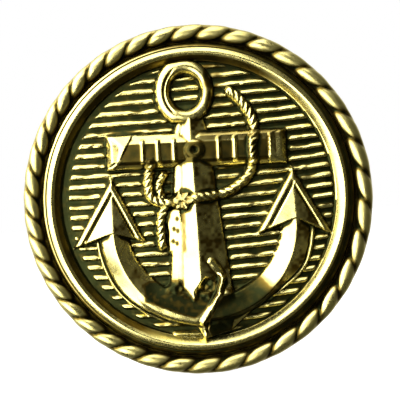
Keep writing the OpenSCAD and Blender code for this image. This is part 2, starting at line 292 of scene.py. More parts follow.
def stock_tarnish(x, y):
    """Dark between the bands of the stock's front, and amber along its upper bevel on the right."""
    u, v = along_stock(x, y)
    front = ease(from_block(u, v) / 0.15) * ease((0.6 - v) / 0.15) * ease((v + 0.9) / 0.15)
    for spot in BANDS:
        front = front * (1 - bead(np.abs(np.abs(u) - spot), 0.22))
    front = front * (0.8 + 0.1 * ripple(x, y, 0.4, 34))
    bevel = 0.45 * ease(u / 0.4) * ease((v - 0.55) / 0.1) * (np.abs(v) < STOCK_UP) * (np.abs(u) < STOCK_HALF)
    return np.maximum(front, bevel)


def shank_tarnish(x, y):
    """An amber stripe down the step of the shank, and the holes of the frayed end."""
    t = (x - SHANK_X) / shank_half(y)
    stripe = 0.5 * ease((STRIPE_HALF - np.abs(t - STRIPE_T)) / 0.03)
    stripe = stripe * ease((y + 3.6) / 0.3) * ease((-0.4 - y) / 0.3)
    for cx, cy in FRAY_HOLES:
        stripe = np.maximum(stripe, 0.95 * bead(np.hypot(x - cx, (y - cy) / 1.3), 0.16) ** 0.5)
    return stripe


def crown_painted_shade(x, y):
    """Mottled painted shade over the sunk left half of the crown, below the end of the shank."""
    inside = ease(inset(x, y, CROWN_HOLLOW) / 0.4)
    below = ease((shank_end(x) - y) / 0.5)
    return inside * below * (0.93 + 0.25 * ripple(x, y, 0.22, 31))


def arm_painted_shade(x, y):
    """Painted shade over the right half of the crown and the arm that rises from it, where their facets turn
    away from the light.
    """
    out, down = along_arms(x, y)
    right = ease((down - 0.62) / 0.18) * ease((x - seam_x(y) - 0.25) / 0.2) * (out > -1.3)
    return 0.9 * right * (out < 0.3 + ease((1.9 - x) / 0.5))


def knot_tarnish(x, y):
    """A little amber on the knot, more of it between the rays."""
    radius = np.hypot(x - KNOT_X, y - KNOT_Y)
    return (0.38 + 0.1 * (knot_rays(x, y) < 0)) * (radius < KNOT_R)


def shackle_painted_shadow(x, y):
    """A mottled painted shadow on the field to the right of the shackle."""
    patch = ease((x - 0.7) / 0.3) * ease((2.5 - x) / 0.9) * ease((y - 5.3) / 0.6)
    return patch * (0.62 + 0.3 * ripple(x, y, 0.5, 38))


def anchor_tarnish_and_shade(x, y):
    """Share of stains and painted shade on the anchor and round it, from 0 to 1."""
    parts = (stock_tarnish, shank_tarnish, crown_painted_shade, arm_painted_shade, knot_tarnish, shackle_painted_shadow)
    return np.maximum.reduce([part(x, y) for part in parts])


def boss(x, y):
    """Round knob with a dimple, where the stock crosses the shank."""
    r = np.hypot(x + 0.02, y - STOCK_Y)
    knob = BOSS_TOP + 0.1 * np.clip(1 - (r / BOSS_R) ** 2, 0, 1) - 0.4 * bead(r, 0.28)
    return np.where(r < BOSS_R, knob, BOSS_TOP - 1.2 * (r - BOSS_R))


def arms(x, y):
    """Roof-shaped arms along half an ellipse, over a thin ledge.

    Their outer side narrows to a lip towards the crown, sooner on the right than on the left.
    """
    out, down = along_arms(x, y)
    left = ease(0.5 - x / 1.6)
    narrow = ease((down - 0.4 - 0.1 * left) / (0.4 + 0.1 * left)) * (0.85 + 0.15 * left)
    narrow = np.where(x > ARM_X, 1.5 * ease((down - 0.35) / 0.4), narrow)
    half = np.where(out < 0, ARM_INNER + 0.42 * down, ARM_OUTER - 0.42 * narrow)
    ridge = 0.9 + 0.17 * down
    t = np.sqrt((out / half) ** 2 + 0.006)
    low = ease((down - 0.6) / 0.35)
    edge = np.where(out < 0, 0.15 + 0.47 * low, 0.34 + (0.2 + 0.3 * left) * ease((down - 0.35) / 0.4))
    roof = ridge - (ridge - edge) * (t - 0.05)
    lip = 0.3 * ease((down - 0.45) / 0.3)
    roof = roof + 0.07 * bead(out - lip, 0.26) * ease((down - 0.6) / 0.2) * left
    h = np.where(t < 1, roof, edge - WALL * (t - 1) * half)
    beyond = out - half
    ledge = 0.2 + 0.1 * bead(beyond - 0.24, 0.12) - WALL * np.clip(beyond - 0.34, 0, None)
    ledge = ledge - 1.2 * np.clip(down - 0.75 + 0.2 * (x > 0), 0, 1)
    h = np.maximum(h, np.where(out > 0, ledge, -1))
    return h - WALL * np.clip(y + 1.5, 0, None)


def crown(x, y, above):
    """The shank's height, given as above, ended over the low crown; and the extra rise of its seam."""
    d = np.maximum(inset(x, y, CROWN), inset(x, y, CROWN_TIP))
    side = x - seam_x(y)
    hollow = np.maximum(0.62 + 0.02 * (y + 7), 1.0 - 1.2 * np.sqrt(side**2 + 0.01))
    hollow = hollow + 0.06 * ripple(x, y, 0.24, 23)
    low = np.where(side < 0, hollow, 1.02 - 0.2 * np.sqrt(side**2 + 0.02))
    low = np.where(d > 0, smooth_min(0.58 + 0.3 * d, low, 0.08), 0.58 + WALL * d)
    start = np.where(side < 0, shank_end(x), END_RIGHT) + 0.25 * ripple(x, y, 0.5, 22)
    share = ease((start - y) / np.where(side < 0, 0.6, 1.2))
    seam = np.full(x.shape, 1e9)
    for a, b in zip(SEAM, SEAM[1:]):
        seam = np.minimum(seam, to_segment(x, y, a, b))
    return above * (1 - share) + low * share, 0.2 * bead(seam, 0.27) * (1 + 0.4 * ripple(x, y, 0.3, 21))


# tip, foot, left corner and right corner of each palm, and a palm's heights at its tip, foot and corners
PALMS = [((-5.6, 1.5), (-5.65, -1.8), (-8.25, -2.6), (-3.75, -2.45)),
         ((6.25, 1.45), (6.3, -1.6), (3.85, -2.4), (8.5, -2.75))]
PALM_RISE = [0.4, 0.98, 0.3]


def leaf(x, y, apex, foot, corner):
    """One half of a palm, leaning out from its middle ridge, with a groove along its outer edge."""
    corners = [apex, corner, foot] if corner[0] < apex[0] else [foot, corner, apex]
    d = inset(x, y, corners)
    m = np.array([[apex[0], apex[1], 1], [foot[0], foot[1], 1], [corner[0], corner[1], 1]])
    plane = np.linalg.solve(m, np.array(PALM_RISE))
    face = plane[0] * x + plane[1] * y + plane[2]
    edge = to_segment(x, y, apex, corner)
    face = face - 0.17 * bead(edge - 0.4, 0.12) + 0.05 * bead(edge - 0.15, 0.2)
    return np.where(d > -0.02, face, face + WALL * (d + 0.02))


# courses of the cable: the fouling loop, its hanging end and the turn behind the knot
CABLES = [
    [(2.5, 6.9), (3.1, 6.35), (3.8, 5.2), (3.95, 4.2), (3.75, 3.2), (3.72, 2.2), (3.3, 1.25), (2.3, 0.5),
     (1.2, 0.18), (0.1, 0.1), (-1.1, 0.0), (-2.4, -0.1), (-3.1, 0.4), (-3.2, 1.4), (-2.95, 2.5)],
    [(-1.3, -0.1), (-2.1, -0.3), (-2.52, -1.1), (-2.58, -2.1), (-2.55, -2.9)],
    [(-2.4, 0.3), (-2.55, 1.0), (-2.2, 1.7)],
]
CORD_R = [0.33, 0.3, 0.27]
# distance between two strands of a cord, along it and across it
TWIST_RUN, TWIST_SIDE = 0.46, 0.5
# points along each course, how far round it the sheet is searched, and how many points are measured at a time
CORD_STEPS = 500
CORD_MARGIN = 0.6
BATCH = 4000


def cable(x, y, under):
    """Twisted cables laid over the relief called under: a half-round cord whose strands lean."""
    h = np.full(x.shape, -1.0)
    for points, cord in zip(CABLES, CORD_R):
        path = smooth_path(points, CORD_STEPS)
        run = np.concatenate([[0], np.cumsum(np.hypot(*np.diff(path, axis=0).T))])
        way = np.gradient(path, axis=0)
        way /= np.hypot(way[:, 0], way[:, 1])[:, None]
        lo, hi = path.min(0) - CORD_MARGIN, path.max(0) + CORD_MARGIN
        near = (x > lo[0]) & (x < hi[0]) & (y > lo[1]) & (y < hi[1])
        px, py = x[near], y[near]
        best, index = np.full(px.shape, 1e9), np.zeros(px.shape, int)
        for start in range(0, len(px), BATCH):
            part = slice(start, start + BATCH)
            gap = (px[part, None] - path[None, :, 0]) ** 2 + (py[part, None] - path[None, :, 1]) ** 2
            index[part] = gap.argmin(1)
            best[part] = np.sqrt(gap.min(1))
        side = (px - path[index, 0]) * -way[index, 1] + (py - path[index, 1]) * way[index, 0]
        twist = np.abs(np.sin(math.pi * (run[index] / TWIST_RUN + side / TWIST_SIDE)))
        lift = np.sqrt(np.clip(1 - (best / cord) ** 2, 0, 1)) * (0.26 + 0.2 * twist**0.6)
        cord_h = np.where(best < cord, np.maximum(under[near], 0.05) * 0.75 + 0.12 + lift, -1)
        h[near] = np.maximum(h[near], cord_h)
    return h


def frayed_end(x, y):
    """Flat end of the cable pressed against the left of the shank, pricked with a few small holes."""
    d = inset(x, y, FRAYED_END)
    h = 0.64 + 0.4 * (x + 1.25) + 0.03 * ripple(x, y, 0.4, 33)
    for cx, cy in FRAY_HOLES:
        h = h - 0.22 * bead(np.hypot(x - cx, y - cy), 0.17)
    return np.where(d > 0, h, 0.3 + WALL * d)


def knot(x, y):
    """Low ragged star, leaning to the left, where the cable is tied round the shank."""
    r = np.hypot(x - KNOT_X, y - KNOT_Y)
    lean = 1.0 + 0.3 * (x - KNOT_X) + 0.05 * (y - KNOT_Y) + 0.05 * ripple(x, y, 0.3, 35)
    star = lean + 0.04 * knot_rays(x, y) * ease(r / 0.2) - 0.1 * bead(r, 0.13)
    reach = KNOT_R * (0.94 + 0.12 * knot_rays(x, y))
    return np.where(r < reach, star, 0.6 - WALL * (r - reach))


# ends of the low bar that runs left from the crown's tip
TOE = (-2.1, -8.78), (-0.15, -8.88)


def anchor_relief(x, y):
    """Height of the whole fouled anchor above the field, and below zero beside it."""
    body, seam = crown(x, y, shank(x, y))
    h = smooth_max(body, arms(x, y), 0.12) + seam
    h = np.maximum(h, 0.26 * bead(to_segment(x, y, *TOE), 0.24))
    for tip, foot, left, right in PALMS:
        h = np.maximum(h, leaf(x, y, tip, foot, left))
        h = np.maximum(h, leaf(x, y, tip, foot, right))
    for part in (stock, boss, shackle, frayed_end):
        h = np.maximum(h, part(x, y))
    h = np.maximum(h, cable(x, y, h))
    return np.maximum(h, knot(x, y))


# ---- the ring and the field ---------------------------------------------------------------------

def dome(r):
    """Rise of the domed field above its foot at the ring."""
    return FIELD_DOME * (1 - np.clip(r / RING_IN, 0, 1) ** 2)


# section of the ring as distance out from its foot and height above the field: an inner slope, the crest,
# a fine groove and a longer outer slope
RING_SECTION = [(0, 0), (0.06, 0.16), (0.25, 0.36), (0.42, 0.5), (0.52, 0.57), (0.6, 0.6), (0.68, 0.59),
                (0.78, 0.55), (0.88, 0.5), (0.93, 0.46), (0.97, 0.44), (1.01, 0.44), (1.06, 0.42),
                (1.14, 0.37), (1.22, 0.29), (1.27, 0.1), (1.3, -0.15)]
# distance of the groove from the ring's foot
GROOVE = 0.97


def ring_height(r):
    """Height of the ring's section at the radius r."""
    curve = smooth_path(RING_SECTION, 400)
    return FIELD_H + np.interp(r - RING_IN, curve[:, 0], curve[:, 1])


def line_profile(offset):
    """Height of a raised line across its pitch: a long upper flank and a short lower one."""
    share = np.interp(offset, [-0.32, -0.22, -0.14, -0.06, 0.28, 0.36], [0, 0.85, 1, 0.96, 0.12, 0])
    return LINE_RISE * share


def surface_mesh(name, points, faces, attributes):
    """A smooth-shaded piece of quads, with the named values stored at its points."""
    mesh = bpy.data.meshes.new(name)
    mesh.from_pydata([], [], [])
    flat = np.asarray(faces, np.int32)
    mesh.vertices.add(len(points))
    mesh.vertices.foreach_set("co", np.asarray(points, np.float32).ravel())
    mesh.loops.add(flat.size)
    mesh.loops.foreach_set("vertex_index", flat.ravel())
    mesh.polygons.add(len(flat))
    mesh.polygons.foreach_set("loop_start", np.arange(0, flat.size, 4, dtype=np.int32))
    mesh.update(calc_edges=True)
    mesh.validate()
    mesh.shade_smooth()
    for key, values in attributes.items():
        layer = mesh.attributes.new(key, "FLOAT", "POINT")
        layer.data.foreach_set("value", np.asarray(values, np.float32).ravel())
    piece = bpy.data.objects.new(name, mesh)
    bpy.context.scene.collection.objects.link(piece)
    return piece


def grid_faces(rows, columns, first, closed):
    """Quads of a grid whose points start at index first; closed joins the last column to the first."""
    i, j = np.meshgrid(np.arange(rows - 1), np.arange(columns if closed else columns - 1), indexing="ij")
    k = (j + 1) % columns
    a, b = first + i * columns + j, first + i * columns + k
    c, d = first + (i + 1) * columns + k, first + (i + 1) * columns + j
    return np.stack([a, b, c, d], -1).reshape(-1, 4)


def blurred(h, reach):
    """Box average over a grid, used to tell hollows from high spots."""
    for axis in (0, 1):
        padded = np.pad(h, [(reach + 1, reach) if k == axis else (0, 0) for k in (0, 1)], mode="edge")
        total = np.cumsum(padded, axis=axis)
        n = h.shape[axis]
        h = (np.take(total, np.arange(2 * reach + 1, 2 * reach + 1 + n), axis)
             - np.take(total, np.arange(n), axis)) / (2 * reach + 1)
    return h


# the sheet is a grid of rows out to FIELD_REACH; the turned part of the ring takes over at RING_JOIN
FIELD_REACH = RING_IN + 0.3
RING_JOIN = RING_IN + 0.1
FIELD_COLUMNS = 236
RING_SEGMENTS = 600
# places of the rows across each line's pitch, closer together round the line's crest
ROW_STEPS = [-0.5, -0.4, -0.32, -0.23, -0.15, -0.06, 0.04, 0.14, 0.24, 0.33, 0.41]


def field_rows():
    """Heights on the plan of the grid's rows, and the place of each across its line's pitch."""
    bands = np.arange(-(LINES + 3) // 2, (LINES + 3) // 2 + 1)
    row_y = (bands[:, None] + np.array(ROW_STEPS)[None, :]).ravel() * PITCH
    offset = np.tile(ROW_STEPS, len(bands))
    keep = np.abs(row_y) < FIELD_REACH - 0.01
    return row_y[keep], offset[keep]


def raised_lines(x, y, offset):
    """The field's unevenly worn lines. They stop short of the ring, most of all on the left."""
    wear = 1 + 0.25 * ripple(x, y * 3, 0.9, 3) + 0.25 * ripple(x, y, 0.35, 4)
    stop = 0.18 + 0.4 * ease(-x / RING_IN)
    fade = 1 - ease((np.hypot(x, y) - RING_IN + stop) / 0.18)
    return line_profile(offset)[:, None] * wear * fade


def ring_painted_shade(facing):
    """Painted shade on the ring's inner slope where it is turned from the light; facing is 1 at the lit side
    and -1 opposite it.
    """
    return 0.75 * ease((0.35 - facing) / 0.5)


def field_tarnish_and_shade(x, y, h, raised):
    """Tarnished hollows and gaps between the lines, mottled painted shade on slopes that fall to the right,
    away from the light, painted shade on the ring's inner slope, and the anchor's stains and painted shade.
    """
    r = np.hypot(x, y)
    sunk = np.clip((blurred(h, reach=5) - h) / 0.07, 0, 1)
    gap = (1 - ease((raised - 0.03) / 0.06)) * (r < RING_IN + 0.05)
    slope = np.gradient(h, axis=1) / np.gradient(x, axis=1)
    mottle = 0.36 + 0.3 * ripple(x, y, 0.55, 36) + 0.22 * ripple(x, y, 0.2, 37)
    # painted shade, mottled, on slopes that fall to the right, away from the light
    shaded = ease((-slope - 0.12) / 0.15) * ease((raised - 0.25) / 0.1) * mottle
    facing = (x * math.cos(LIT_SIDE) - y * math.sin(LIT_SIDE)) / np.maximum(r, 1e-6)
    # painted shade on the ring's inner slope, on the side turned from the light
    inner = ring_painted_shade(facing) * (r > RING_IN)
    return np.maximum.reduce([sunk, gap, shaded, inner, anchor_tarnish_and_shade(x, y)])


def field_part():
    """Field, anchor and the foot of the ring as a grid whose rows follow the raised lines."""
    row_y, offset = field_rows()
    u = np.sqrt(FIELD_REACH**2 - row_y**2)[:, None] * np.linspace(-1, 1, FIELD_COLUMNS)[None, :]
    v = np.repeat(row_y[:, None], FIELD_COLUMNS, 1)
    x = u - LINE_SLOPE * v
    y = v + LINE_SLOPE * u + LINE_BEND * u**2
    r = np.hypot(x, y)
    raised = smooth_max(anchor_relief(x, y), raised_lines(x, y, offset), 0.03)
    raised = raised + 0.02 * ripple(x, y, 1.2, 5) + 0.01 * ripple(x, y, 0.55, 6)
    base = np.maximum(FIELD_H + dome(r), np.where(r > RING_IN - 0.05, ring_height(r), 0))
    h = np.where(r < RING_IN, FIELD_H + dome(r) + raised, np.maximum(base, FIELD_H + raised))
    # past the join the grid dips under the turned part
    sink = np.clip(r - RING_JOIN, 0, None)
    h = np.where(r > RING_JOIN, h - 0.06 * ease(sink / 0.05) - sink, h)
    return place(x, y, h), field_tarnish_and_shade(x, y, h, raised)


def ring_part():
    """The ring from its join with the field to its outer foot, the flange, and the sheet's plain back."""
    profile = [(r, ring_height(np.array(r))) for r in np.linspace(RING_JOIN, RING_OUT, 36)]
    profile += [(RING_OUT + 0.02, TUCK_TOP), (FLANGE_R, TUCK_TOP), (FLANGE_R, TUCK_BOTTOM),
                (RING_OUT - 0.25, TUCK_BOTTOM), (RING_IN, TUCK_BOTTOM + 0.05),
                (RING_IN * 0.5, TUCK_BOTTOM + 0.25), (0.01, TUCK_BOTTOM + 0.33)]
    turn = np.arange(RING_SEGMENTS) * 2 * math.pi / RING_SEGMENTS
    r = np.array([float(p[0]) for p in profile])[:, None] * np.ones(RING_SEGMENTS)
    h = np.array([float(p[1]) for p in profile])[:, None] * np.ones(RING_SEGMENTS)
    x, y = r * np.cos(turn), r * np.sin(turn)
    h = h + 0.006 * ripple(x, y, 0.8, 7) * (r < RING_OUT)
    facing = np.cos(turn + LIT_SIDE)
    # the outer slope is darkened, and painted shade carries the dark further up it at the lower right, which
    # is turned from the light
    outer = 0.82 * ease((r - RING_IN - 0.85 + 0.2 * facing) / 0.2)
    # painted shade on the ring's inner slope, on the side turned from the light
    inner = ring_painted_shade(facing) * ease((RING_IN + 0.5 - r) / 0.15)
    groove = bead(r - RING_IN - GROOVE, 0.09)
    return place(x, y, h), np.maximum.reduce([outer, inner, groove])


def struck_sheet():
    """The front sheet: field and anchor as one grid, and the ring with the back as another."""
    field, field_dark = field_part()
    ring, ring_dark = ring_part()
    faces = [grid_faces(*field.shape[:2], 0, False), grid_faces(*ring.shape[:2], field_dark.size, True)]
    points = np.concatenate([field.reshape(-1, 3), ring.reshape(-1, 3)])
    dark = np.concatenate([field_dark.ravel(), ring_dark.ravel()])
    return surface_mesh("struck_sheet", points, np.concatenate(faces), {"tarnish_and_shade": dark})


# ---- the rope border ------------------------------------------------------------------------------

# the bead starts low on its inner side, at 180 degrees, and ends low on its outer side, below 0
BEAD_START, BEAD_END = 176, -28
BEAD_STEPS = 30
BEAD_RISE = 0.58
ROPE_SEGMENTS = STRANDS * 22


def strand_depth(tilt, phase):
    """Depth of the bead's surface below the strands' crests; tilt is in degrees, phase 0.5 at a crest."""
    taper = 0.5 + 0.5 * np.sin(np.radians(np.clip(tilt, 0, 180))) ** 0.8
    depth = STRAND_DEPTH * np.interp(tilt, [BEAD_END, 0, 30, 55, 150, BEAD_START], [0, 0.08, 0.45, 1, 1, 0.8])
    across = np.clip(np.abs(2 * phase - 1) / taper, 0, 1)
    return depth * (1 - np.clip(1 - across**2.3, 0, 1) ** 0.65)


def rope_border():
    """Slanted strands on a rounded bead, over a plain wall and a lip turned round the back."""
    tilt = np.linspace(BEAD_START, BEAD_END, BEAD_STEPS)[:, None]
    share = np.linspace(0, 1, BEAD_STEPS)[:, None]
    base = np.arange(ROPE_SEGMENTS)[None, :] * 2 * math.pi / ROPE_SEGMENTS
    turn = base - STRAND_LEAN * share * 2 * math.pi / STRANDS
    twist = STRANDS * base + CROWDING * np.sin(base - CROWDED_SIDE) + FIRST_STRAND
    sunk = strand_depth(tilt, (twist / (2 * math.pi)) % 1)
    sunk = sunk * (1 + 0.15 * ripple(turn * 20, share * 2, 1.3, 11))
    r = HEAD_R - ROPE_W / 2 + (ROPE_W / 2 - sunk) * np.cos(np.radians(tilt))
    h = FIELD_H + 0.05 + (BEAD_RISE - sunk) * np.sin(np.radians(tilt))
    wall = [(HEAD_R - 0.22, FIELD_H - 0.55), (HEAD_R - 0.25, FIELD_H - 1.0), (HEAD_R - 0.25, 1.0),
            (HEAD_R - 0.31, 0.72), (HEAD_R - 0.45, 0.52), (HEAD_R - 0.65, 0.42), (LIP_R + 0.2, LIP_H + 0.01),
            (LIP_R + 0.04, LIP_H + 0.03), (LIP_R, LIP_H + 0.1), (LIP_R, LIP_H + 0.32), (HEAD_R - 0.65, 0.8),
            (HEAD_R - 0.66, TUCK_TOP), (RING_OUT + 0.03, TUCK_TOP + 0.03)]
    # the lean of the columns dies out over the first rows of the wall
    unwind = np.clip(1 - np.arange(1, len(wall) + 1) / 5, 0, 1)[:, None]
    wall_turn = base - STRAND_LEAN * unwind * 2 * math.pi / STRANDS
    wall_r = np.array([p[0] for p in wall])[:, None] * np.ones(ROPE_SEGMENTS)
    wall_h = np.array([p[1] for p in wall])[:, None] * np.ones(ROPE_SEGMENTS)
    r, h, turn = np.vstack([r, wall_r]), np.vstack([h, wall_h]), np.vstack([turn, wall_turn])
    r = r + 0.006 * ripple(turn * 30, h, 0.9, 12)
    inner_edge = 1 - ease((share - 0.12) / 0.16)
    crease = np.clip(np.maximum(sunk / STRAND_DEPTH, 0.6 * inner_edge), 0, 1)
    dark = np.vstack([crease, np.zeros_like(wall_r)])
    points = place(r * np.cos(turn), r * np.sin(turn), h)
    first = np.arange(ROPE_SEGMENTS)
    last = (len(points) - 1) * ROPE_SEGMENTS + first
    close = np.stack([last, np.roll(last, -1), np.roll(first, -1), first], -1)
    faces = np.concatenate([grid_faces(*points.shape[:2], 0, True), close])
    return surface_mesh("rope_border", points.reshape(-1, 3), faces, {"tarnish_and_shade": dark.ravel()})


# ---- materials ------------------------------------------------------------------------------------

class Wiring:
    """Short-hand for adding and joining shader nodes."""

    def __init__(self, tree):
        self.tree = tree

    def add(self, kind, **settings):
        """A new node of the given kind with these settings."""
        node = self.tree.nodes.new(kind)
        for key, value in settings.items():
            setattr(node, key, value)
        return node

    def feed(self, value, socket):
        """Links another node's output to the socket, or sets the socket to a plain value."""
        if isinstance(value, bpy.types.NodeSocket):
            self.tree.links.new(value, socket)
        else:
            socket.default_value = value

    def remap(self, value, low, high, to_low=0.0, to_high=1.0):
        """value, clamped to the range from low to high and stretched to the range from to_low to to_high."""
        node = self.add("ShaderNodeMapRange")
        self.feed(value, node.inputs["Value"])
        for key, number in (("From Min", low), ("From Max", high), ("To Min", to_low), ("To Max", to_high)):
            node.inputs[key].default_value = number
        return node.outputs["Result"]

    def math(self, operation, a, b):
        node = self.add("ShaderNodeMath", operation=operation)
        self.feed(a, node.inputs[0])
        self.feed(b, node.inputs[1])
        return node.outputs[0]

    def blend(self, share, a, b):
        """Colour a where share is 0 and colour b where it is 1."""
        node = self.add("ShaderNodeMix", data_type="RGBA")
        colours = [socket for socket in node.inputs if socket.type == "RGBA"]
        self.feed(share, node.inputs["Factor"])
        self.feed(a, colours[0])
        self.feed(b, colours[1])
        return next(socket for socket in node.outputs if socket.type == "RGBA")


class Surface(Wiring):
    """A new material with a principled shader, and textures laid out in object space."""

    def __init__(self, name):
        self.material = bpy.data.materials.new(name)
        self.material.use_nodes = True
        super().__init__(self.material.node_tree)
        self.shader = self.tree.nodes["Principled BSDF"]
        self.place = self.add("ShaderNodeTexCoord").outputs["Object"]

    def noise(self, size_mm, detail=3.0, rough=0.5, where=None):
        """Cloudy noise with patches of about this size."""
        node = self.add("ShaderNodeTexNoise")
        self.feed(where or self.place, node.inputs["Vector"])
        node.inputs["Scale"].default_value = 1 / (size_mm * MM)
        node.inputs["Detail"].default_value = detail
        node.inputs["Roughness"].default_value = rough
        return node.outputs["Fac"]

    def bump(self, height, depth_mm, under=None):
        """Surface direction of a fine relief, laid over another one if under is given."""
        node = self.add("ShaderNodeBump")
        self.feed(height, node.inputs["Height"])
        node.inputs["Distance"].default_value = depth_mm * MM
        if under is not None:
            self.feed(under, node.inputs["Normal"])
        return node.outputs["Normal"]

    def attribute(self, name):
        """The value stored at the mesh's points under this name."""
        return self.add("ShaderNodeAttribute", attribute_name=name).outputs["Fac"]

    def from_axis(self):
        """Distance in metres from the button's axis."""
        part = self.add("ShaderNodeSeparateXYZ")
        self.feed(self.place, part.inputs[0])
        across = self.math("POWER", part.outputs["X"], 2.0)
        return self.math("SQRT", self.math("ADD", across, self.math("POWER", part.outputs["Z"], 2.0)), 0.0)


# depth in millimetres of the finest pitting
GRAIN_DEPTH = 0.004
# the gilding turns amber where it first tarnishes, then nearly black; painted shade is laid on in the same
# two colours
AMBER = (0.13, 0.085, 0.014, 1)
PATINA_AND_SHADE = (0.02, 0.023, 0.007, 1)
# bright and dull colours of each metal, and the pressed board's two browns
GOLD, DULL_GOLD = (0.78, 0.68, 0.25, 1), (0.56, 0.48, 0.16, 1)
BRASS, DULL_BRASS = (0.68, 0.54, 0.2, 1), (0.42, 0.33, 0.12, 1)
TURNED, DULL_TURNED = (0.7, 0.56, 0.22, 1), (0.46, 0.36, 0.13, 1)
WIRE, DULL_WIRE = (0.72, 0.58, 0.23, 1), (0.48, 0.38, 0.14, 1)
STEEL, DULL_STEEL = (0.5, 0.5, 0.49, 1), (0.34, 0.33, 0.31, 1)
FIBRE, DARK_FIBRE = (0.33, 0.26, 0.17, 1), (0.16, 0.12, 0.075, 1)


def stained_and_shaded(n, colour, roughness):
    """Amber and then nearly black, in tarnished hollows and in painted shade, where the piece's stored values
    mark them.
    """
    # the stored values mark tarnished hollows and, on the front sheet, painted shade
    hollow = n.attribute("tarnish_and_shade")
    uneven = n.remap(n.noise(size_mm=0.5, detail=3.0), 0.3, 0.6, 0.86, 1.0)
    darkening = n.math("MULTIPLY", n.remap(hollow, 0.12, 0.93), uneven)
    colour = n.blend(n.remap(darkening, 0.05, 0.5), colour, AMBER)
    colour = n.blend(n.remap(darkening, 0.5, 0.95), colour, PATINA_AND_SHADE)
    return colour, n.math("ADD", roughness, n.math("MULTIPLY", hollow, 0.15))


def grimy(n, colour, roughness, radius, middle_mm, width_mm):
    """A dull dark circle about the axis, where grime gathers along a seam."""
    away = n.math("ABSOLUTE", n.math("SUBTRACT", radius, middle_mm * MM), 0.0)
    near = n.remap(away, 0.0, width_mm * MM, 1.0, 0.0)
    grime = n.math("MULTIPLY", near, n.remap(n.noise(size_mm=0.9, detail=4.0), 0.3, 0.6, 0.3, 0.95))
    return n.blend(grime, colour, PATINA_AND_SHADE), n.math("ADD", roughness, n.math("MULTIPLY", grime, 0.2))


def lathe_marks(n, normal, roughness, radius, ring_mm=0.32):
    """Fine rings about the axis, cut into the surface and alternately smoother and rougher."""
    rings = n.add("ShaderNodeTexNoise", noise_dimensions="1D")
    n.feed(radius, rings.inputs["W"])
    rings.inputs["Scale"].default_value = 1 / (ring_mm * MM)
    rings.inputs["Detail"].default_value = 3.0
    normal = n.bump(rings.outputs["Fac"], 4 * GRAIN_DEPTH, normal)
    return normal, n.math("ADD", roughness, n.remap(rings.outputs["Fac"], 0.3, 0.7, -0.06, 0.08))


def scratches(n, normal):
    """Faint slanting scratches: noise squeezed tenfold across one direction."""
    stretch = n.add("ShaderNodeMapping")
    n.feed(n.place, stretch.inputs["Vector"])
    stretch.inputs["Rotation"].default_value = (0.0, 0.6, 0.0)
    stretch.inputs["Scale"].default_value = (1.0, 1.0, 10.0)
    drawn_out = n.noise(size_mm=1.1, detail=2.0, rough=0.5, where=stretch.outputs["Vector"])
    return n.bump(drawn_out, GRAIN_DEPTH / 2, normal)


def metal(name, bright, dull, smooth, rough, grain_mm=0.25, tarnish_and_shade=False, seams=(), turned=False):
    """Brass or steel, dull in patches, with fine pitting and scratches.

    smooth and rough are the ends of its roughness. With the switch for hollows on, it darkens the tarnished
    hollows that the relief marks and the painted shade stored with them; seams are the radii and widths in
    millimetres of grimy circles, and turned adds the fine rings left by a lathe.
    """
    n = Surface(name)
    patches = n.remap(n.noise(size_mm=2.6, detail=4.0, rough=0.6), 0.35, 0.68)
    fine = n.noise(size_mm=grain_mm, detail=4.0, rough=0.65)
    colour = n.blend(n.math("MULTIPLY", patches, 0.7), bright, dull)
    roughness = n.remap(n.math("ADD", fine, n.math("MULTIPLY", patches, 0.6)), 0.4, 1.2, smooth, rough)
    normal = n.bump(fine, GRAIN_DEPTH)
    if tarnish_and_shade:
        colour, roughness = stained_and_shaded(n, colour, roughness)
    radius = n.from_axis()
    for middle_mm, width_mm in seams:
        colour, roughness = grimy(n, colour, roughness, radius, middle_mm, width_mm)
    if turned:
        normal, roughness = lathe_marks(n, normal, roughness, radius)
    normal = scratches(n, normal)
    n.feed(colour, n.shader.inputs["Base Color"])
    n.feed(roughness, n.shader.inputs["Roughness"])
    n.feed(normal, n.shader.inputs["Normal"])
    n.shader.inputs["Metallic"].default_value = 1.0
    return n.material


def board(name):
    """Pressed fibre board: matt, flecked, with short raised fibres."""
    n = Surface(name)
    flecks = n.noise(size_mm=0.35, detail=5.0, rough=0.7)
    n.feed(n.blend(n.remap(flecks, 0.3, 0.7), DARK_FIBRE, FIBRE), n.shader.inputs["Base Color"])
    n.feed(n.bump(flecks, depth_mm=0.04), n.shader.inputs["Normal"])
    n.shader.inputs["Roughness"].default_value = 0.9
    return n.material


def dress(node, material):
    """Gives a CAD piece its material and leaves its shape alone."""
    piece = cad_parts[node]
    piece.data.materials.clear()
    piece.data.materials.append(material)


# ---- build ------------------------------------------------------------------------------------------

struck = metal("struck_gilt", GOLD, DULL_GOLD, smooth=0.18, rough=0.34, tarnish_and_shade=True)
roped = metal("roped_gilt", GOLD, DULL_GOLD, smooth=0.26, rough=0.44, tarnish_and_shade=True)
plain = metal("back_brass", BRASS, DULL_BRASS, smooth=0.26, rough=0.46, turned=True,
              seams=((LIP_R, 0.5), (RECESS_R, 0.35)))
turned = metal("turned_brass", TURNED, DULL_TURNED, smooth=0.24, rough=0.42, turned=True,
               seams=((COLLET_R, 0.35),))
drawn = metal("drawn_wire", WIRE, DULL_WIRE, smooth=0.22, rough=0.4, grain_mm=0.15)
steel = metal("rolled_steel", STEEL, DULL_STEEL, smooth=0.3, rough=0.5)

for piece, material, slot, node in (
    (struck_sheet(), struck, "gilt_brass", "face_plate"),
    (rope_border(), roped, "rope_brass", "rope_rim"),
):
    piece.data.materials.append(material)
    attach(piece, "head")
    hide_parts(node)

dress("back_plate", plain)
dress("shank_collet", turned)
dress("shank_eye", drawn)
dress("collet_washer", steel)
dress("stiffener_disc", steel)
dress("filler_board", board("pressed_board"))

# ---- stage --------------------------------------------------------------------------------------------

